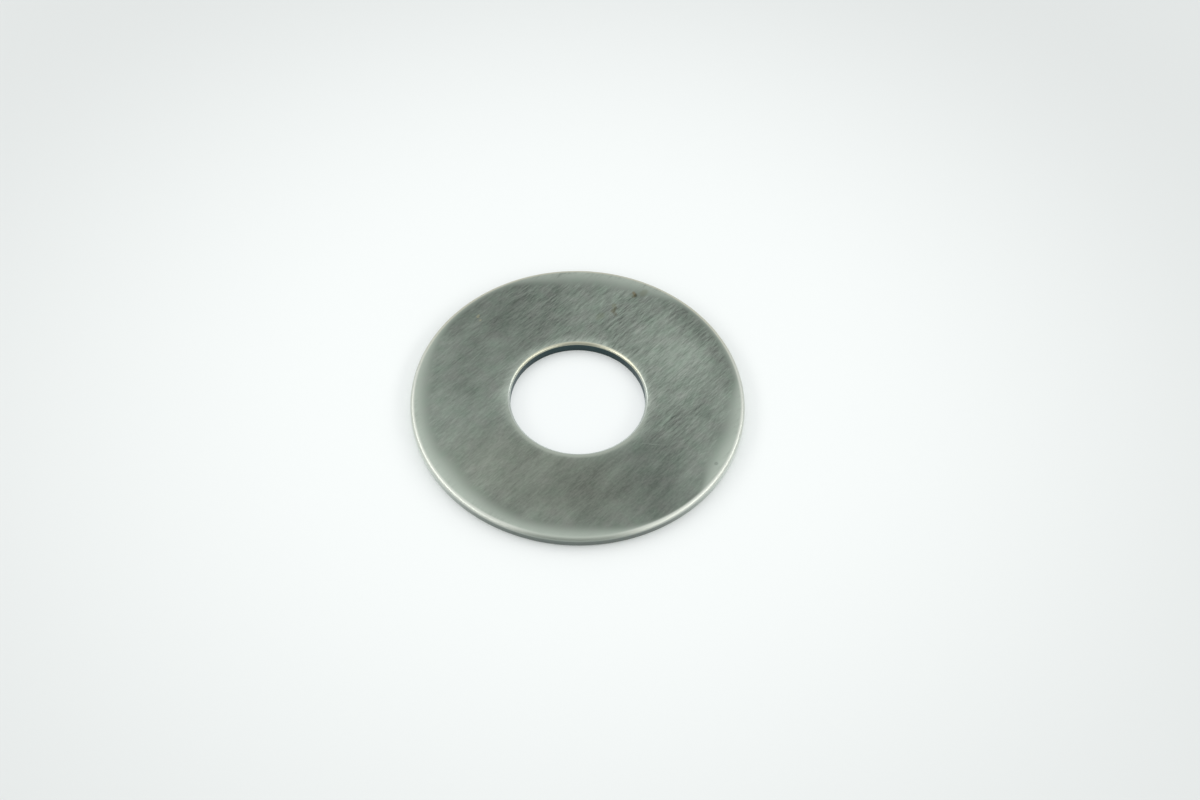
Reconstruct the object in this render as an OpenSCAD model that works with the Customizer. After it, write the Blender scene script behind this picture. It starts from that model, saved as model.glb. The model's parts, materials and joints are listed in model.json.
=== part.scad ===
// Plain flat washer, blanked from strip and tumbled: rolled shoulders on the upper face,
// rounded corners above and below, straight walls at the rim and in the bore.
// The axis of the bore is Z, and the lower face lies on Z = 0.

/* [Washer] */
// Outside diameter
outside_d = 25; // [20:0.5:40]
// Diameter of the bore, which clears a 10 mm screw or shaft
bore_d = 10.1; // [5:0.1:12]
// Thickness between the two faces
thickness = 1; // [0.8:0.1:3]

/* [Upper edges] */
// Width of the rolled shoulder beside the rim, measured along the face
rim_shoulder_w = 1.4; // [0.8:0.1:2]
// Radius of the corner that joins the rim's shoulder to its wall
rim_corner_r = 0.3; // [0.15:0.05:0.4]
// Width of the rolled shoulder beside the bore, measured along the face
bore_shoulder_w = 0.9; // [0.6:0.1:1.6]
// Radius of the corner that joins the bore's shoulder to its wall
bore_corner_r = 0.25; // [0.1:0.05:0.4]
// Slope that each shoulder has reached where its corner begins, in degrees
shoulder_slope = 10; // [6:1:18]

/* [Lower edges] */
// Radius of the corner that joins the lower face to the rim's wall
rim_foot_r = 0.25; // [0.05:0.05:0.3]
// Radius of the corner that joins the lower face to the bore's wall, which tumbling reached less
bore_foot_r = 0.1; // [0.05:0.05:0.3]

/* [Hidden] */
steel = [0.49, 0.52, 0.48];
outside_r = outside_d / 2;
bore_r = bore_d / 2;
// How far a corner's arc stands proud of its shoulder's, so that the two cross and don't only touch
arc_lap = 0.00005;
$fn = 180;

// Radius of the wide arc of a shoulder, which leaves the face level and meets the corner's arc at the
// shoulder's slope without a break
function shoulder_r(shoulder_w, corner_r) = corner_r + (shoulder_w - corner_r) / sin(shoulder_slope);

// Height of the centre of the corner below a shoulder
function corner_z(shoulder_w, corner_r) =
    let (wide_r = shoulder_r(shoulder_w, corner_r))
    thickness - wide_r + (wide_r - corner_r) * cos(shoulder_slope) + arc_lap;

// What an edge loses: all of a rectangle, given by two opposite corners, that lies outside a round
module chip(from, to, round_r, centre) {
    difference() {
        translate(from) square(to - from);
        translate(centre) circle(r = round_r);
    }
}

// What rolling and tumbling take from an edge whose wall stands on X = 0, with the metal on the -X side
module edge_loss(shoulder_w, corner_r, foot_r) {
    wide_r = shoulder_r(shoulder_w, corner_r);
    centre_z = corner_z(shoulder_w, corner_r);
    join_x = -corner_r * (1 - sin(shoulder_slope));
    past_top = [corner_r, thickness + corner_r];
    chip([-shoulder_w, centre_z], past_top, wide_r, [-shoulder_w, thickness - wide_r]);
    chip([join_x, centre_z], past_top, corner_r, [-corner_r, centre_z]);
    chip([-foot_r, -foot_r], [foot_r, foot_r], foot_r, [-foot_r, foot_r]);
}

// Half of the washer's section, from the bore's wall to the rim's
module section() {
    difference() {
        translate([bore_r, 0]) square([outside_r - bore_r, thickness]);
        translate([outside_r, 0]) edge_loss(rim_shoulder_w, rim_corner_r, rim_foot_r);
        translate([bore_r, 0]) mirror([1, 0]) edge_loss(bore_shoulder_w, bore_corner_r, bore_foot_r);
    }
}

module washer() {
    color(steel) rotate_extrude() section();
}

washer();
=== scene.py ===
# %% [markdown]
# # A flat steel washer
# A plain washer is a simple shape, so its looks depend on its surface: a face that was ground on a belt,
# edges that the punch rolled and a tumbler then rubbed bright, and a dark wall where the metal tore.
# This lesson gives the washer a fine mesh, builds that steel from nodes, and sets it in a small white studio.
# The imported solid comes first, because it fixes the size and the place of everything that follows.

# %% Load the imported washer
import json
import math
import bpy
from mathutils import Matrix, Vector


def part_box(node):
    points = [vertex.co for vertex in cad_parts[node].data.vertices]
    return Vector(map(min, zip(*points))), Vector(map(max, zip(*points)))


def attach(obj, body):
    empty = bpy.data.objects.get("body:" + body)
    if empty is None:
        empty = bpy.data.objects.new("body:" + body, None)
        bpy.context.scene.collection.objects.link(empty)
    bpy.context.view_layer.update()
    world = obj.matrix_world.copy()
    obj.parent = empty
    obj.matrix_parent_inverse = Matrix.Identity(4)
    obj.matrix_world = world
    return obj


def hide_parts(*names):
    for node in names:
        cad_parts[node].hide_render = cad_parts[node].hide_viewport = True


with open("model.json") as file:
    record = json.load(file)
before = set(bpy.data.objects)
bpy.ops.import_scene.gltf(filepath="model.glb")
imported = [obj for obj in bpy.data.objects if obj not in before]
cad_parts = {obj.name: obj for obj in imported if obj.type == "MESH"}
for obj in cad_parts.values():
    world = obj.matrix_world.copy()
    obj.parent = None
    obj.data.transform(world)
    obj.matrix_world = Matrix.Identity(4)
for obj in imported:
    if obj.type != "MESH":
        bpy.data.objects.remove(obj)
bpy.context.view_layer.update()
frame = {"record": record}
MM = 0.001

# %% [markdown]
# ## The sizes
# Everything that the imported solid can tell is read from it: its box gives the outside and the thickness, and
# the record's mount gives the bore. Only the rounding of the edges is written here. Each upper edge starts as
# a wide, shallow arc, the shoulder, and ends in a tight one, the corner, as a blanked edge does.

# %% Read the sizes and work out the shoulders
low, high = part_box("washer")
thickness = high.z - low.z
outside_r = (high.x - low.x) / 2
bore_r = next(m for m in frame["record"]["mounts"] if m["name"] == "bore")["dims"]["r_mm"] * MM
RIM_SHOULDER_W = 1.4 * MM
RIM_CORNER_R = 0.3 * MM
BORE_SHOULDER_W = 0.9 * MM
BORE_CORNER_R = 0.25 * MM
RIM_FOOT_R = 0.25 * MM
BORE_FOOT_R = 0.1 * MM
SHOULDER_SLOPE = math.radians(10)


def shoulder(width, corner_r):
    """Radius of a shoulder's arc, and how far in and how deep the straight edges meet that it rounds off."""
    arc = corner_r + (width - corner_r) / math.sin(SHOULDER_SLOPE)
    inset = width - arc * math.tan(SHOULDER_SLOPE / 2)
    return arc, inset, inset * math.tan(SHOULDER_SLOPE)


rim_arc, rim_inset, rim_drop = shoulder(RIM_SHOULDER_W, RIM_CORNER_R)
bore_arc, bore_inset, bore_drop = shoulder(BORE_SHOULDER_W, BORE_CORNER_R)
print(f"outside {2 * outside_r / MM:.2f}, bore {2 * bore_r / MM:.2f}, thickness {thickness / MM:.2f} mm")
print(f"rim shoulder arc {rim_arc / MM:.2f} mm, bore shoulder arc {bore_arc / MM:.2f} mm")

# %% [markdown]
# ## Helpers for nodes
# Geometry and materials are both node trees, so two small functions serve for all of them. `add` adds a node,
# sets its options, and fills its inputs: a socket is linked, and anything else becomes the input's value.
# `reckon` uses it for the most common node, which works out a number.

# %% The node helpers


def add(tree, kind, inputs=None, **settings):
    """Adds a node to a tree with its settings, and links or sets the inputs, given by name or number."""
    node = tree.nodes.new(kind)
    for name, value in settings.items():
        setattr(node, name, value)
    for key, value in (inputs or {}).items():
        if isinstance(value, bpy.types.NodeSocket):
            tree.links.new(value, node.inputs[key])
        else:
            node.inputs[key].default_value = value
    return node


def reckon(tree, operation, *terms):
    """Adds a node that works out a number from its terms, and returns the result."""
    return add(tree, "ShaderNodeMath", dict(enumerate(terms)), operation=operation).outputs[0]


print("helpers ready:", add.__name__, "and", reckon.__name__)

# %% [markdown]
# ## The washer's mesh
# The real washer is a section carried round an axis. A lathe-like Spin would do, but Geometry Nodes keep the
# sizes as named inputs: six points make the section's straight outline, Fillet Curve rounds each of them with
# its own radius, and Curve to Mesh carries the outline round the bore's circle. Long straight stretches are
# cut into shorter ones, so that no face spans the whole ring.

# %% Name the inputs of the sweep
SIZES = {
    "Bore radius": bore_r,
    "Ring width": outside_r - bore_r,
    "Thickness": thickness,
    "Rim arc": rim_arc,
    "Rim inset": rim_inset,
    "Rim drop": rim_drop,
    "Rim corner": RIM_CORNER_R,
    "Bore arc": bore_arc,
    "Bore inset": bore_inset,
    "Bore drop": bore_drop,
    "Bore corner": BORE_CORNER_R,
    "Rim foot": RIM_FOOT_R,
    "Bore foot": BORE_FOOT_R,
    "Longest step": 0.4 * MM,
    "Dent depth": 0.012 * MM,
    "Dent spacing": 0.8 * MM,
}
COUNTS = {"Steps around": 720, "Steps in a round": 9}
sweep = bpy.data.node_groups.new("Washer sweep", "GeometryNodeTree")
sweep.interface.new_socket("Washer", in_out="OUTPUT", socket_type="NodeSocketGeometry")
socket_ids = {}
for names, socket_type in ((SIZES, "NodeSocketFloat"), (COUNTS, "NodeSocketInt")):
    for name in names:
        socket = sweep.interface.new_socket(name, in_out="INPUT", socket_type=socket_type)
        socket_ids[name] = socket.identifier
given = add(sweep, "NodeGroupInput").outputs
print("sweep inputs:", ", ".join(socket_ids))

# %% Lay out the section and round its corners
rim_knee = reckon(sweep, "SUBTRACT", given["Ring width"], given["Rim inset"])
SECTION = [
    (0.0, given["Thickness"], given["Bore foot"]),
    (0.0, given["Bore drop"], given["Bore corner"]),
    (given["Bore inset"], 0.0, given["Bore arc"]),
    (rim_knee, 0.0, given["Rim arc"]),
    (given["Ring width"], given["Rim drop"], given["Rim corner"]),
    (given["Ring width"], given["Thickness"], given["Rim foot"]),
]
number = add(sweep, "GeometryNodeInputIndex").outputs[0]
corner_place = add(sweep, "GeometryNodeIndexSwitch", {"Index": number}, data_type="VECTOR")
corner_round = add(sweep, "GeometryNodeIndexSwitch", {"Index": number}, data_type="FLOAT")
for switch in (corner_place, corner_round):
    while len(switch.index_switch_items) < len(SECTION):
        switch.index_switch_items.new()
for item, (across, down, round_r) in enumerate(SECTION, start=1):
    point = add(sweep, "ShaderNodeCombineXYZ", {"X": across, "Y": down})
    sweep.links.new(point.outputs[0], corner_place.inputs[item])
    sweep.links.new(round_r, corner_round.inputs[item])
blank = add(sweep, "GeometryNodeCurvePrimitiveCircle", {"Resolution": len(SECTION)})
outline = add(sweep, "GeometryNodeSetPosition",
              {"Geometry": blank.outputs[0], "Position": corner_place.outputs[0]})
rounded = add(sweep, "GeometryNodeFilletCurve",
              {"Curve": outline.outputs[0], "Count": given["Steps in a round"],
               "Radius": corner_round.outputs[0]}, mode="POLY")
print("section corners:", len(SECTION))

# %% Cut the long stretches and carry the section round the bore
here = add(sweep, "GeometryNodeInputPosition").outputs[0]
after = add(sweep, "GeometryNodeOffsetPointInCurve", {"Offset": 1}).outputs["Point Index"]
there = add(sweep, "GeometryNodeFieldAtIndex", {"Index": after, "Value": here}, data_type="FLOAT_VECTOR")
stretch = add(sweep, "ShaderNodeVectorMath", {0: here, 1: there.outputs[0]}, operation="DISTANCE")
cuts = reckon(sweep, "DIVIDE", stretch.outputs["Value"], given["Longest step"])
section = add(sweep, "GeometryNodeSubdivideCurve", {"Curve": rounded.outputs[0], "Cuts": cuts})
circle = add(sweep, "GeometryNodeCurvePrimitiveCircle",
             {"Resolution": given["Steps around"], "Radius": given["Bore radius"]})
lift = add(sweep, "ShaderNodeCombineXYZ", {"Z": given["Thickness"]})
raised = add(sweep, "GeometryNodeTransform", {"Geometry": circle.outputs[0], "Translation": lift.outputs[0]})
swept = add(sweep, "GeometryNodeCurveToMesh",
            {"Curve": raised.outputs[0], "Profile Curve": section.outputs[0]})
WELD = 0.0005 * MM
welded = add(sweep, "GeometryNodeMergeByDistance", {"Geometry": swept.outputs[0], "Distance": WELD})
print("weld distance in mm:", WELD / MM)

# %% [markdown]
# ## Tumbling marks
# In the tumbler the washers knock against each other, and their corners take many shallow dents. Bump alone
# would leave the outline of the highlight too clean, so the mesh itself is moved, by noise, about a hundredth
# of a millimetre inwards. A face that lies flat or stands upright isn't moved: only slanted ones are, and
# those at 45 degrees the most.

# %% Dent the corners
normal = add(sweep, "GeometryNodeInputNormal").outputs[0]
upright = add(sweep, "ShaderNodeSeparateXYZ", {0: normal}).outputs["Z"]
level = reckon(sweep, "MULTIPLY", upright, upright)
slanted = reckon(sweep, "SUBTRACT", 1.0, level)
on_corner = reckon(sweep, "MULTIPLY", level, slanted)
CORNER_PEAK, KNOCK_DETAIL = 0.25, 2.0
per_metre = reckon(sweep, "DIVIDE", 1.0, given["Dent spacing"])
knocks = add(sweep, "ShaderNodeTexNoise", {"Vector": here, "Scale": per_metre, "Detail": KNOCK_DETAIL})
depth = reckon(sweep, "MULTIPLY", knocks.outputs[0], given["Dent depth"])
dent = reckon(sweep, "MULTIPLY", depth, on_corner)
inward = reckon(sweep, "DIVIDE", dent, -CORNER_PEAK)
shift = add(sweep, "ShaderNodeVectorMath", {0: normal, "Scale": inward}, operation="SCALE").outputs[0]
dented = add(sweep, "GeometryNodeSetPosition", {"Geometry": welded.outputs[0], "Offset": shift})
print("dent depth in mm:", SIZES["Dent depth"] / MM)

# %% Finish the tree and turn the result into a plain mesh
steel = bpy.data.materials.new("belt-ground carbon steel with tumbled edges")
smooth = add(sweep, "GeometryNodeSetShadeSmooth", {"Geometry": dented.outputs[0]})
real = add(sweep, "GeometryNodeRealizeInstances", {"Geometry": smooth.outputs[0]})
clad = add(sweep, "GeometryNodeSetMaterial", {"Geometry": real.outputs[0], "Material": steel})
add(sweep, "NodeGroupOutput", {"Washer": clad.outputs[0]})
washer = bpy.data.objects.new("ground_washer", bpy.data.meshes.new("ground_washer"))
bpy.context.scene.collection.objects.link(washer)
modifier = washer.modifiers.new("Sweep", "NODES")
modifier.node_group = sweep
for name, value in {**SIZES, **COUNTS}.items():
    modifier[socket_ids[name]] = value
shown = washer.evaluated_get(bpy.context.evaluated_depsgraph_get())
washer_mesh = bpy.data.meshes.new_from_object(shown)
washer.modifiers.clear()
washer.data = washer_mesh
washer_mesh.calc_loop_triangles()
volume = sum(t.area * t.normal.dot(t.center) / 3 for t in washer_mesh.loop_triangles)
print(f"{len(washer_mesh.vertices)} points, {len(washer_mesh.loop_triangles)} triangles")
print(f"volume {volume / MM ** 3:.2f} cubic mm, more than nothing when the faces point outwards")

# %% [markdown]
# ## The steel
# The washer is bare carbon steel. Its face was ground on a belt, which leaves straight dark scratches with a
# dull sheen. The tumbler then rubbed the edges smoother and brighter, and the bore's wall, where the metal
# tore, stayed dark and matt. One material holds all of these, because they run into each other: it measures
# where a point lies on the washer, and mixes the finishes by that.

# %% Start the material and measure where a point lies


def linear(hex_colour):
    """Turns an sRGB hex colour into linear RGBA."""
    parts = [int(hex_colour[i:i + 2], 16) / 255 for i in (1, 3, 5)]
    return [p / 12.92 if p <= 0.04045 else ((p + 0.055) / 1.055) ** 2.4 for p in parts] + [1.0]


steel.use_nodes = True
finish = steel.node_tree
shader = finish.nodes["Principled BSDF"]
shader.inputs["Metallic"].default_value = 1.0
ONLY_XY = (1, 1, 0)
place = add(finish, "ShaderNodeTexCoord").outputs["Object"]
height = add(finish, "ShaderNodeSeparateXYZ", {0: place}).outputs["Z"]
plan = add(finish, "ShaderNodeVectorMath", {0: place, 1: ONLY_XY}, operation="MULTIPLY").outputs[0]
radius = add(finish, "ShaderNodeVectorMath", {0: plan}, operation="LENGTH").outputs["Value"]
heading = add(finish, "ShaderNodeVectorMath", {0: plan}, operation="NORMALIZE").outputs[0]
from_rim = reckon(finish, "SUBTRACT", outside_r, radius)
from_bore = reckon(finish, "SUBTRACT", radius, bore_r)
print("material:", steel.name)

# %% [markdown]
# ## Helpers for masks
# Most of what follows is a mask, a number from 0 to 1 that says how much a finish counts at a point. `ramp`
# turns any measure into one, with soft ends. `sector` is a mask for a direction round the axis, which
# `facing` measures. `oval` says how far out a point lies in an oval, `slow_noise` makes soft clouds, and
# `blend` lays a colour over another.

# %% Write the helpers
MIX_A, MIX_B, MIX_RESULT = 6, 7, 2
BORDER, MIDDLE = 1.0, 0.0
SLOW_DETAIL = 1.0


def ramp(value, start, end, full=1.0):
    """Rises softly from 0 at the start to its full amount at the end, which may also be the lower value."""
    return add(finish, "ShaderNodeMapRange",
               {"Value": value, "From Min": start, "From Max": end, "To Max": full},
               interpolation_type="SMOOTHSTEP").outputs[0]


def facing(turn):
    """Cosine of the angle at the axis between a point and a direction, which is given in degrees."""
    way = (math.cos(math.radians(turn)), math.sin(math.radians(turn)), 0)
    return add(finish, "ShaderNodeVectorMath", {0: heading, 1: way}, operation="DOT_PRODUCT").outputs["Value"]


def sector(turn, outer, inner=0, full=1.0):
    """A mask for the points within some degrees of a direction."""
    return ramp(facing(turn), math.cos(math.radians(outer)), math.cos(math.radians(inner)), full)


def oval(point, x, y, turn, long_r, short_r):
    """How far out a point lies in an oval: 0 in its middle, 1 on its border. Lengths are in millimetres."""
    inside = add(finish, "ShaderNodeMapping",
                 {"Vector": point, "Location": (x * MM, y * MM, 0), "Rotation": (0, 0, math.radians(turn)),
                  "Scale": (long_r * MM, short_r * MM, 1)}, vector_type="TEXTURE")
    return add(finish, "ShaderNodeVectorMath", {0: inside.outputs[0]}, operation="LENGTH").outputs["Value"]


def slow_noise(spacing):
    """The outputs of a soft noise, a number and a colour, whose clouds lie about a spacing apart."""
    return add(finish, "ShaderNodeTexNoise",
               {"Vector": place, "Scale": 1 / spacing, "Detail": SLOW_DETAIL}).outputs


def blend(mask, under, paint):
    """Lays a paint over a colour as far as the mask goes."""
    return add(finish, "ShaderNodeMix", {0: mask, MIX_A: under, MIX_B: paint},
               data_type="RGBA").outputs[MIX_RESULT]


HELPERS = (ramp, facing, sector, oval, slow_noise, blend)
print("helpers ready:", ", ".join(helper.__name__ for helper in HELPERS))

# %% [markdown]
# ## Belt grain
# A belt's grit draws thousands of nearly parallel scratches. Noise that is stretched along the belt gives
# such strokes, and several layers, from single scratches to broad sweeps, give the uneven look of hand work.
# Single scratches are about 0.02 mm wide. They are drawn wider here, or they wouldn't show in the render.
# Each layer has its turn in degrees, its length and width in millimetres, and its share.

# %% Draw the grain
BELT = [(48, 1.45, 0.09, 0.37), (45, 1.60, 0.20, 0.32), (68, 0.90, 0.11, 0.20), (24, 0.80, 0.11, 0.18)]
DABS = [(52, 1.10, 0.50, 0.11), (30, 0.26, 0.20, 0.13), (48, 4.50, 1.60, 0.30)]
STROKE = {"Scale": 1.0, "Detail": 2.0, "Roughness": 0.55, "Distortion": 0.25}
NOISE_LOW, NOISE_HIGH = 0.33, 0.67


def streaks(layers):
    """Sums layers of stretched noise, each of which swings from about minus to plus its share."""
    total = 0.0
    for turn, length, width, share in layers:
        along = add(finish, "ShaderNodeMapping",
                    {"Vector": place, "Rotation": (0, 0, math.radians(turn)),
                     "Scale": (length * MM, width * MM, width * MM)}, vector_type="TEXTURE")
        noise = add(finish, "ShaderNodeTexNoise", {"Vector": along.outputs[0], **STROKE})
        swing = add(finish, "ShaderNodeMapRange",
                    {"Value": noise.outputs[0], "From Min": NOISE_LOW, "From Max": NOISE_HIGH,
                     "To Min": -share, "To Max": share}, clamp=False)
        total = reckon(finish, "ADD", swing.outputs[0], total)
    return total


belt, dabs = streaks(BELT), streaks(DABS)
print("layers of scratches:", len(BELT), "and of dabs:", len(DABS))

# %% [markdown]
# ## Bite
# Nobody holds a washer to a belt quite evenly. On one side the grit bit deeper, so the scratches are clearer
# there. A slow noise changes the bite a little more, from place to place. The helper `around` adds stretches
# to a number: each has its direction and half its spread in degrees, and what it adds.

# %% Let the grit bite unevenly
BITE, BITE_STRETCHES = 0.58, [(45, 100, 0.72), (285, 55, -0.25)]
PATCH_SPACING, PATCH_FAINT, PATCH_DEEP = 2.6 * MM, 0.8, 1.2


def around(base, stretches):
    """A number that changes with the direction round the axis."""
    total = base
    for turn, half, extra in stretches:
        total = reckon(finish, "ADD", sector(turn, half, full=extra), total)
    return total


patch = add(finish, "ShaderNodeMapRange",
            {"Value": slow_noise(PATCH_SPACING)[0], "From Min": NOISE_LOW, "From Max": NOISE_HIGH,
             "To Min": PATCH_FAINT, "To Max": PATCH_DEEP}).outputs[0]
bite = reckon(finish, "MULTIPLY", patch, around(BITE, BITE_STRETCHES))
ground = reckon(finish, "MULTIPLY_ADD", belt, bite, dabs)
print("stretches of stronger or weaker bite:", len(BITE_STRETCHES))

# %% [markdown]
# ## Painted sheen
# The face isn't evenly grey. A few soft ovals paint lighter and darker clouds into its colour: a painted
# highlight and painted shade in place of the bands that its reflection shows. Each has its place, its turn in
# degrees, its two half widths in millimetres, and how much lighter or darker it makes the steel.

# %% Paint sheen clouds on the face
PAINTED_SHEEN = [
    (8.0, 3.9, 112, 5.2, 2.9, 0.30),
    (6.3, 2.9, 120, 8.5, 6.5, 0.17),
    (-8.6, -5.2, 120, 8.0, 4.2, 0.20),
    (2.4, 9.4, 60, 3.6, 2.4, 0.10),
    (-5.2, 7.6, 30, 6.8, 4.6, -0.26),
    (4.2, -7.6, 20, 8.0, 5.2, -0.24),
    (8.8, 6.9, 128, 4.4, 1.6, -0.22),
    (5.9, -3.4, 60, 5.0, 2.9, -0.13),
    (-1.8, -7.6, -15, 8.0, 3.6, -0.09),
    (9.5, -5.9, 58, 4.0, 2.0, 0.24),
    (6.1, -9.1, 34, 3.6, 2.4, -0.14),
    (-10.3, 0.7, 86, 4.2, 1.9, 0.15),
    (10.6, -0.3, 88, 2.6, 1.6, 0.13),
]
painted_sheen = 0.0
# painted highlight and painted shade: each oval lightens or darkens the face's colour
for x, y, turn, long_r, short_r, strength in PAINTED_SHEEN:
    sheen_cloud = ramp(oval(plan, x, y, turn, long_r, short_r), BORDER, MIDDLE, strength)
    painted_sheen = reckon(finish, "ADD", sheen_cloud, painted_sheen)
print("clouds:", len(PAINTED_SHEEN))

# %% [markdown]
# ## Burnished shoulders
# On the shoulders the scratches fade out, because the belt hardly touched them and the tumbler polished them.
# How far in this reaches changes with the direction, so some stretches get more of it or less: each has its
# direction and half its spread in degrees, and the millimetres that it adds. Beside the rim the pale band has
# a soft inner border, which is a little ragged along the grain. Beside the bore it fades slowly.

# %% Burnish the shoulders
RIM_REACH, BORE_REACH = 0.70, 1.1
RIM_STRETCHES = [(83, 36, 1.15), (198, 54, 0.92), (222, 16, 0.35), (258, 33, 0.62), (309, 20, -0.25),
                 (343, 28, 1.05)]
BORE_STRETCHES = [(30, 55, -0.4), (168, 42, 0.45)]
RAGGED, RIM_FULL, BORE_FADE = 0.30, 0.08, 2.2
rim_mm = reckon(finish, "DIVIDE", from_rim, MM)
rim_share = reckon(finish, "DIVIDE", rim_mm, around(RIM_REACH, RIM_STRETCHES))
frayed = reckon(finish, "MULTIPLY_ADD", ground, RAGGED, rim_share)
rim_rub = ramp(frayed, BORDER, RIM_FULL)
bore_mm = reckon(finish, "DIVIDE", from_bore, MM)
bore_share = reckon(finish, "DIVIDE", bore_mm, around(BORE_REACH, BORE_STRETCHES))
near_bore = add(finish, "ShaderNodeMapRange",
                {"Value": bore_share, "From Min": BORDER, "From Max": MIDDLE}).outputs[0]
bore_rub = reckon(finish, "POWER", near_bore, BORE_FADE)
burnish = reckon(finish, "MAXIMUM", rim_rub, bore_rub)
print("stretches:", len(RIM_STRETCHES), "at the rim and", len(BORE_STRETCHES), "at the bore")

# %% [markdown]
# ## Corners and walls
# The tight corners took most of the tumbling, so they are the brightest. The bore's wall is the torn edge of
# the punched hole, dark and matt nearly up to its corner. The rim's wall was rubbed too. Round the axis their
# colours also hold painted light and shade: at the sides the rim's wall is painted light as a painted
# reflection; on the near side painted shade darkens the rim's corner and wall, and a painted highlight
# lightens the bore's lip in a wider band; on the far side a painted warm reflection tints the corners, painted
# shade greys the rim's wall and darkens the bore's wall, and a painted glint sits on the bore's lip. Each of
# these sectors has its direction, how far it reaches to either side, and how far out it is full, in degrees.

# %% Find the corners and the walls
RIM_EDGE, BORE_EDGE = (0.38 * MM, 0.21 * MM), (0.23 * MM, 0.13 * MM)
RIM_WALL_TOP, BORE_WALL_TOP = (0.80 * MM, 0.57 * MM), (0.80 * MM, 0.70 * MM)
RIM_WALL_FOOT, BORE_WALL_FOOT = (0.02 * MM, 0.18 * MM), (0.0, 0.06 * MM)
rim_edge, bore_edge = ramp(from_rim, *RIM_EDGE), ramp(from_bore, *BORE_EDGE)
rim_wall = ramp(height, *RIM_WALL_TOP, ramp(height, *RIM_WALL_FOOT, rim_edge))
bore_wall = ramp(height, *BORE_WALL_TOP, ramp(height, *BORE_WALL_FOOT, bore_edge))
print("wall radii in mm:", round(outside_r / MM, 2), "at the rim and", round(bore_r / MM, 2), "in the bore")

# %% Find the sides where light and shade are painted
# painted highlight: a lighter band beside the bore's lip on the near side
LIP_HALO_SHEEN = (0.60 * MM, 0.22 * MM)
NEAR, FAR = 270, 90
# sectors of painted shade, painted highlight, painted reflection and a painted glint
NEAR_WALL_SHADE, NEAR_EDGE_SHADE, NEAR_LIP_SHEEN = (NEAR, 68), (NEAR, 24, 4), (NEAR, 85, 25)
FAR_SIDE_SHEEN, FAR_WALL_SHADE, PAINTED_GLINT = (FAR, 85, 45), (FAR, 75, 20), (58, 23)
near_wall_shade, near_edge_shade, near_lip_sheen = sector(*NEAR_WALL_SHADE), sector(*NEAR_EDGE_SHADE), sector(*NEAR_LIP_SHEEN)
far_side_sheen, far_wall_shade, painted_glint = sector(*FAR_SIDE_SHEEN), sector(*FAR_WALL_SHADE), sector(*PAINTED_GLINT)
lip_halo_sheen = ramp(from_bore, *LIP_HALO_SHEEN, near_lip_sheen)
print("the near side lies at", NEAR, "degrees and the far side at", FAR)

# %% [markdown]
# ## Mix the finishes
# A metal's base colour is what it reflects, so every finish is a grey, lighter where it is smoother. Grain
# and the painted sheen clouds then scale it. A slow noise shifts the face between two tints, as bare steel has
# them where it has begun to tarnish, and one side is a little more olive than the rest.

# %% Colour the face
TINT_SPACING = 1.0 * MM
OLIVE_PLACE, OLIVE_CORE, OLIVE_SHARE = (-2.5, -7.2, -15, 10.0, 5.5), 0.3, 0.28
GRAIN_DEPTH, KEPT_GRAIN = 0.41, 0.7
colour = blend(slow_noise(TINT_SPACING)[0], linear("#80847F"), linear("#758478"))
colour = blend(ramp(oval(plan, *OLIVE_PLACE), BORDER, OLIVE_CORE, OLIVE_SHARE), colour, linear("#828578"))
colour = blend(burnish, colour, linear("#A9B3A9"))
kept = add(finish, "ShaderNodeMapRange", {"Value": burnish, "To Min": 1.0, "To Max": KEPT_GRAIN}).outputs[0]
# the grain's darkening plus the painted highlight and shade of the sheen clouds
shade = reckon(finish, "MULTIPLY_ADD", ground, GRAIN_DEPTH, painted_sheen)
light = reckon(finish, "MULTIPLY_ADD", shade, kept, 1.0)
colour = add(finish, "ShaderNodeVectorMath", {0: colour, "Scale": light}, operation="SCALE").outputs[0]
print("colour nodes so far:", len(finish.nodes))

# %% Colour the corners and the walls, with painted light and shade on some sides
# painted shade: the rim's corner is darker on the near side
rim_edge_colour_and_sheen = blend(near_edge_shade, linear("#CDD2CA"), linear("#AFB8AE"))
# painted reflection: a warm straw tint on the far side
rim_edge_colour_and_sheen = blend(far_side_sheen, rim_edge_colour_and_sheen, linear("#CFD0C0"))
# painted reflection and shade: the rim's wall is light at the sides, darker near and greyer far
rim_wall_sheen_and_shade = blend(near_wall_shade, linear("#DEE4DE"), linear("#787F7B"))
# painted shade: the rim's wall is greyer on the far side
rim_wall_sheen_and_shade = blend(far_side_sheen, rim_wall_sheen_and_shade, linear("#9DA49E"))
# painted highlight: the bore's lip is lighter on the near side
bore_edge_colour_and_sheen = blend(near_lip_sheen, linear("#C4CCC6"), linear("#E2EAE6"))
# painted reflection: a warm straw tint on the far side
bore_edge_colour_and_sheen = blend(far_side_sheen, bore_edge_colour_and_sheen, linear("#C9CAB6"))
# painted glint: a highlight painted on the bore's lip
bore_edge_colour_and_sheen = blend(painted_glint, bore_edge_colour_and_sheen, linear("#DEDEC9"))
# the bore's wall is dark torn steel, and painted shade makes it darker still on the far side
bore_wall_colour_and_shade = blend(far_wall_shade, linear("#647072"), linear("#3F4F51"))
# the halo is a painted highlight beside the bore's near lip
PAINTS = [(lip_halo_sheen, linear("#ABB3A8")), (rim_edge, rim_edge_colour_and_sheen), (bore_edge, bore_edge_colour_and_sheen),
          (rim_wall, rim_wall_sheen_and_shade), (bore_wall, bore_wall_colour_and_shade)]
for mask, paint in PAINTS:
    colour = blend(mask, colour, paint)
print("corners and walls:", len(PAINTS))

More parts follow.
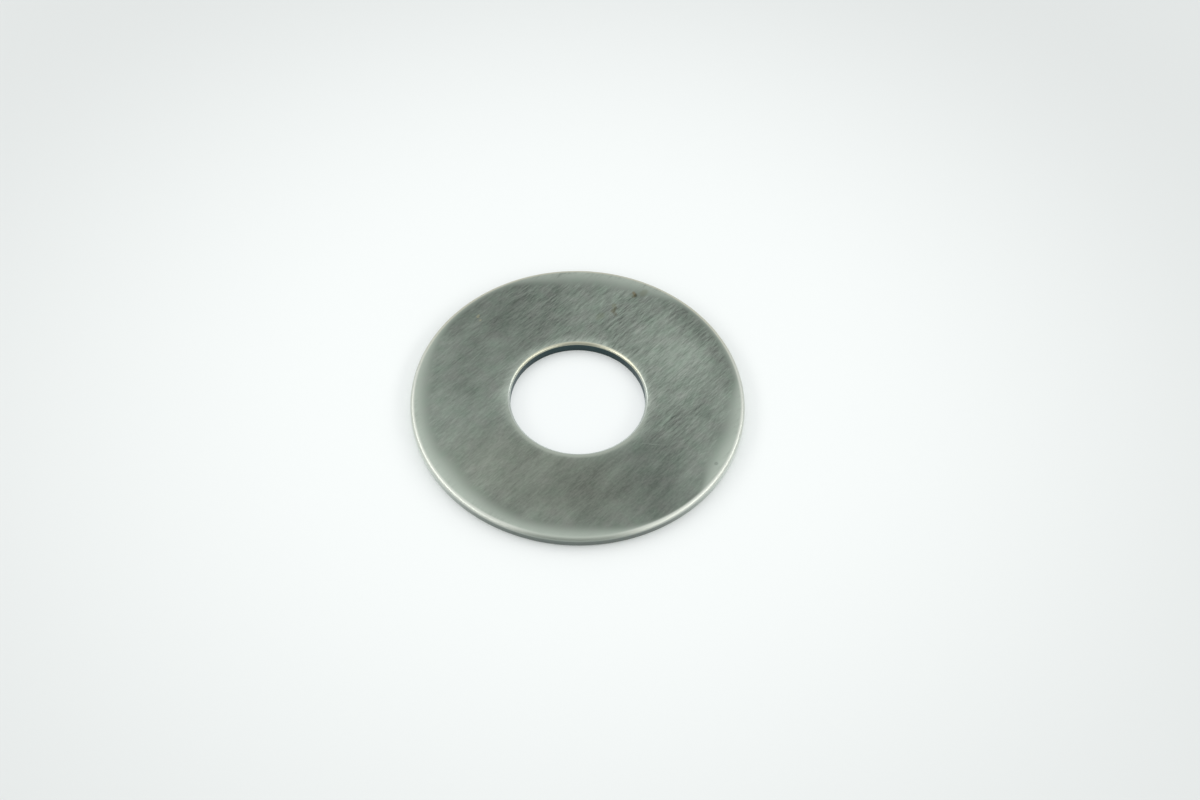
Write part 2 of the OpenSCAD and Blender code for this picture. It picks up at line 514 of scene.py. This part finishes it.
# %% [markdown]
# ## Marks
# Bare steel that has been handled has a few pits with a little rust in them, stains and scratches. Each mark
# is a small oval, whose border a fine noise makes ragged, and has its place, its turn, its half widths in
# millimetres, how much of it shows, and its colour. They are only on the upper face.

# %% Add the marks
MARKS = [
    (4.35, 9.85, 75, 0.20, 0.13, 0.7, "#3E3C28"),
    (4.18, 9.74, 20, 0.18, 0.13, 0.4, "#5F5739"),
    (4.22, 10.06, 100, 0.22, 0.15, 0.5, "#75643F"),
    (2.66, 8.80, 80, 0.26, 0.18, 0.3, "#747452"),
    (2.80, 8.54, 75, 0.20, 0.14, 0.45, "#4A432C"),
    (2.60, 8.28, 62, 0.26, 0.18, 0.45, "#56502F"),
    (2.76, 7.98, 110, 0.26, 0.16, 0.4, "#5A5640"),
    (-7.82, 7.45, 62, 0.20, 0.10, 0.35, "#B0AA86"),
    (-7.64, 7.09, 62, 0.14, 0.09, 0.3, "#B0AA86"),
    (10.14, -5.82, 30, 0.18, 0.14, 0.35, "#5A605C"),
    (5.62, -4.25, -4, 0.95, 0.05, 0.15, "#A9B1A9"),
    (1.61, 7.71, 49, 0.45, 0.28, 0.25, "#6C6E55"),
    (5.01, 10.17, 49, 0.45, 0.28, 0.3, "#6C6E55"),
]
WOBBLE, WOBBLE_SPACING = 0.17 * MM, 0.20 * MM
UPPER_SIDE = (0.4 * MM, 0.6 * MM)
MARK_SOFT, MARK_CORE = 1.3, 0.5
NOISE_MIDDLE = (0.5, 0.5, 0.5)
wander = slow_noise(WOBBLE_SPACING)["Color"]
offset = add(finish, "ShaderNodeVectorMath", {0: wander, 1: NOISE_MIDDLE}, operation="SUBTRACT")
ragged = add(finish, "ShaderNodeVectorMath", {0: offset.outputs[0], 1: (WOBBLE, WOBBLE, 0), 2: plan},
             operation="MULTIPLY_ADD").outputs[0]
for x, y, turn, long_r, short_r, share, paint in MARKS:
    shown_share = ramp(height, *UPPER_SIDE, share)
    mask = ramp(oval(ragged, x, y, turn, long_r, short_r), MARK_SOFT, MARK_CORE, shown_share)
    colour = blend(mask, colour, linear(paint))
finish.links.new(colour, shader.inputs["Base Color"])
print("marks:", len(MARKS))

# %% [markdown]
# ## Sheen and relief
# Roughness says how widely a finish spreads a reflection: the torn wall the most, the bore's lip the least.
# The grain also becomes a shallow bump, so that the scratches catch the light when the view changes.

# %% Mix the roughness and raise the grain
NUM_A, NUM_B = 2, 3
FACE_ROUGH, ROUGH_SPREAD = 0.42, 0.05
ROUGHS = [(burnish, 0.36), (rim_edge, 0.41), (bore_edge, 0.33), (rim_wall, 0.45), (bore_wall, 0.55)]
rough = reckon(finish, "MULTIPLY_ADD", ground, ROUGH_SPREAD, FACE_ROUGH)
for mask, own_rough in ROUGHS:
    rough = add(finish, "ShaderNodeMix", {0: mask, NUM_A: rough, NUM_B: own_rough}).outputs[0]
finish.links.new(rough, shader.inputs["Roughness"])
SCRATCH_DEPTH, SCRATCH_SHARE = 0.004 * MM, 0.3
relief = reckon(finish, "MULTIPLY", ground, kept)
bump = add(finish, "ShaderNodeBump", {"Height": relief, "Strength": SCRATCH_SHARE, "Distance": SCRATCH_DEPTH})
finish.links.new(bump.outputs[0], shader.inputs["Normal"])
print("scratch depth in mm:", SCRATCH_DEPTH / MM)

# %% [markdown]
# ## The camera
# The view is worked out from the photograph: how high the camera stood, how far away, how much it was rolled,
# and where in the frame the middle of the washer is. Aiming the camera past the washer, by two small turns,
# puts it there, so the lens needs no shift.

# %% Set the camera
PHOTO_W, PHOTO_H = 1200, 800
WASHER_AT = (577.8, 404.0)
VIEW_RISE = math.radians(54.03)
VIEW_DISTANCE = 127 * MM
VIEW_ROLL = math.radians(1.09)
SENSOR_W, LENS, CLIP_NEAR = 36.0, 50.7, 1 * MM
camera_data = bpy.data.cameras.new("camera")
camera_data.sensor_width = SENSOR_W
camera_data.lens = LENS
camera_data.clip_start = CLIP_NEAR
focal_px = camera_data.lens / camera_data.sensor_width * PHOTO_W
pan = math.atan((WASHER_AT[0] - PHOTO_W / 2) / focal_px)
tilt = math.atan((WASHER_AT[1] - PHOTO_H / 2) / focal_px)
aim = Matrix.Rotation(math.pi / 2 - VIEW_RISE, 4, "X") @ Matrix.Rotation(VIEW_ROLL, 4, "Z")
aim = aim @ Matrix.Rotation(tilt, 4, "X") @ Matrix.Rotation(pan, 4, "Y")
eye = Vector((0, -math.cos(VIEW_RISE), math.sin(VIEW_RISE))) * VIEW_DISTANCE
camera = bpy.data.objects.new("camera", camera_data)
camera.matrix_world = Matrix.Translation(eye) @ aim
bpy.context.scene.collection.objects.link(camera)
bpy.context.scene.camera = camera
print("camera at, in mm:", [round(v / MM, 1) for v in eye])

# %% [markdown]
# ## The floor
# The washer lies on a sheet of white paper. It is one large plane, a little brighter round the washer than
# far away from it, as under a light that hangs over the middle. In the bore the walls shade it more than the
# photograph shows, so there the paper gives more of its light by itself.

# %% Lay the paper
bpy.context.scene.view_settings.view_transform = "Standard"
FLOOR_HALF = 1000 * MM
CORNERS = ((-1, -1), (1, -1), (1, 1), (-1, 1))
floor_mesh = bpy.data.meshes.new("floor")
floor_mesh.from_pydata([(x * FLOOR_HALF, y * FLOOR_HALF, 0) for x, y in CORNERS], [], [range(len(CORNERS))])
floor = bpy.data.objects.new("floor", floor_mesh)
bpy.context.scene.collection.objects.link(floor)
paper = bpy.data.materials.new("white paper")
floor_mesh.materials.append(paper)
print("paper in m:", 2 * FLOOR_HALF, "square")

# %% Colour the paper
paper.use_nodes = True
sheet = paper.node_tree
paper_inputs = sheet.nodes["Principled BSDF"].inputs
spot = add(sheet, "ShaderNodeTexCoord").outputs["Object"]


def fade(centre, near, far, at_near, at_far):
    """A number that goes softly from one value near a spot on the paper to another far from it."""
    span = add(sheet, "ShaderNodeVectorMath", {0: spot, 1: centre}, operation="DISTANCE").outputs["Value"]
    return add(sheet, "ShaderNodeMapRange",
               {"Value": span, "From Min": near, "From Max": far, "To Min": at_near, "To Max": at_far},
               interpolation_type="SMOOTHSTEP").outputs[0]


PAPER, PAPER_FADE, PAPER_ROUGH = linear("#E1E5E5"), 0.80, 0.9
ROUND_WASHER = ((0, 4 * MM, 0), 14 * MM, 62 * MM)
IN_BORE, BORE_SHARE = ((0, -1.5 * MM, 0), 4.8 * MM, 6.6 * MM), 0.50
# painted pool of light: the paper is painted brighter round the washer and fades outwards
faded = fade(*ROUND_WASHER, 1.0, PAPER_FADE)
# in the bore the paper's colour is darker and its glow below stronger, which lifts the walls' shade there
tone = reckon(sheet, "MULTIPLY", faded, fade(*IN_BORE, BORE_SHARE, 1.0))
white = add(sheet, "ShaderNodeVectorMath", {0: PAPER[:3], "Scale": tone}, operation="SCALE")
sheet.links.new(white.outputs[0], paper_inputs["Base Color"])
paper_inputs["Roughness"].default_value = PAPER_ROUGH
print("paper brightest within mm:", ROUND_WASHER[1] / MM)

# %% Let the paper glow a little where it is seen or mirrored
GLOW, BORE_GLOW = 0.13, 0.56
rays = add(sheet, "ShaderNodeLightPath").outputs
full_glow = reckon(sheet, "MULTIPLY", faded, fade(*IN_BORE, BORE_GLOW, GLOW))
seen = rays["Is Camera Ray"]
for ray in ("Is Glossy Ray", "Is Transmission Ray"):
    seen = reckon(sheet, "ADD", seen, rays[ray])
sheet.links.new(reckon(sheet, "MULTIPLY", full_glow, seen), paper_inputs["Emission Strength"])
paper_inputs["Emission Color"].default_value = linear("#F7FBFB")
print("glow:", GLOW, "and in the bore", BORE_GLOW)

# %% [markdown]
# ## The light
# Steel shows its surroundings, so these are the second half of its looks. The room is a white dome, dimmer at
# the horizon and dimmer still on the side where the camera stands, which gives the near rim its dark line.
# Two long soft lamps, left and right, draw the bright lines along the corners.

# %% Build the dome
HORIZON, OVERHEAD, FRONT = 0.50, 1.05, 0.56
DOME_TOP = math.sin(math.radians(50))
FRONT_RISE = math.radians(25)
FRONT_CORE, FRONT_END = math.cos(math.radians(22)), math.cos(math.radians(62))
world = bpy.data.worlds.new("studio")
bpy.context.scene.world = world
world.use_nodes = True
dome = world.node_tree
outward = add(dome, "ShaderNodeTexCoord").outputs["Generated"]
rise = add(dome, "ShaderNodeSeparateXYZ", {0: outward}).outputs["Z"]
sky = add(dome, "ShaderNodeMapRange",
          {"Value": rise, "From Max": DOME_TOP, "To Min": HORIZON, "To Max": OVERHEAD},
          interpolation_type="SMOOTHSTEP").outputs[0]
to_front = (0, -math.cos(FRONT_RISE), math.sin(FRONT_RISE))
frontness = add(dome, "ShaderNodeVectorMath", {0: outward, 1: to_front}, operation="DOT_PRODUCT")
dim = add(dome, "ShaderNodeMapRange",
          {"Value": frontness.outputs["Value"], "From Min": FRONT_END, "From Max": FRONT_CORE, "To Min": 1.0,
           "To Max": FRONT}, interpolation_type="SMOOTHSTEP").outputs[0]
backdrop = dome.nodes["Background"].inputs
dome.links.new(reckon(dome, "MULTIPLY", sky, dim), backdrop["Strength"])
backdrop["Color"].default_value = linear("#FFFFFF")
print("dome:", HORIZON, "at the horizon,", OVERHEAD, "overhead,", FRONT, "of that in front")

# %% Hang the two lamps
LAMP_H = 60 * MM
LAMP_RADIANCE = 2.2
LAMP_COLOUR = (1.0, 0.985, 0.94)
LAMP_OUT, LAMP_UP = 190 * MM, 120 * MM
LAMPS = [("left lamp", -LAMP_OUT, -10 * MM, 390 * MM), ("right lamp", LAMP_OUT, -40 * MM, 430 * MM)]
for name, across, along, length in LAMPS:
    lamp_data = bpy.data.lights.new(name, "AREA")
    lamp_data.shape = "RECTANGLE"
    lamp_data.size = length
    lamp_data.size_y = LAMP_H
    lamp_data.color = LAMP_COLOUR
    lamp_data.energy = LAMP_RADIANCE * math.pi * length * LAMP_H
    lamp = bpy.data.objects.new(name, lamp_data)
    lamp.location = (across, along, LAMP_UP)
    lamp.rotation_mode = "QUATERNION"
    lamp.rotation_quaternion = (-lamp.location).to_track_quat("-Z", "Y")
    bpy.context.scene.collection.objects.link(lamp)
    print(name, "gives", round(lamp_data.energy, 3), "W")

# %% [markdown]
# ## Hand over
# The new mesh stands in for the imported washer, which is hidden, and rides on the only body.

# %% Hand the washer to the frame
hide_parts("washer")
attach(washer, "root")
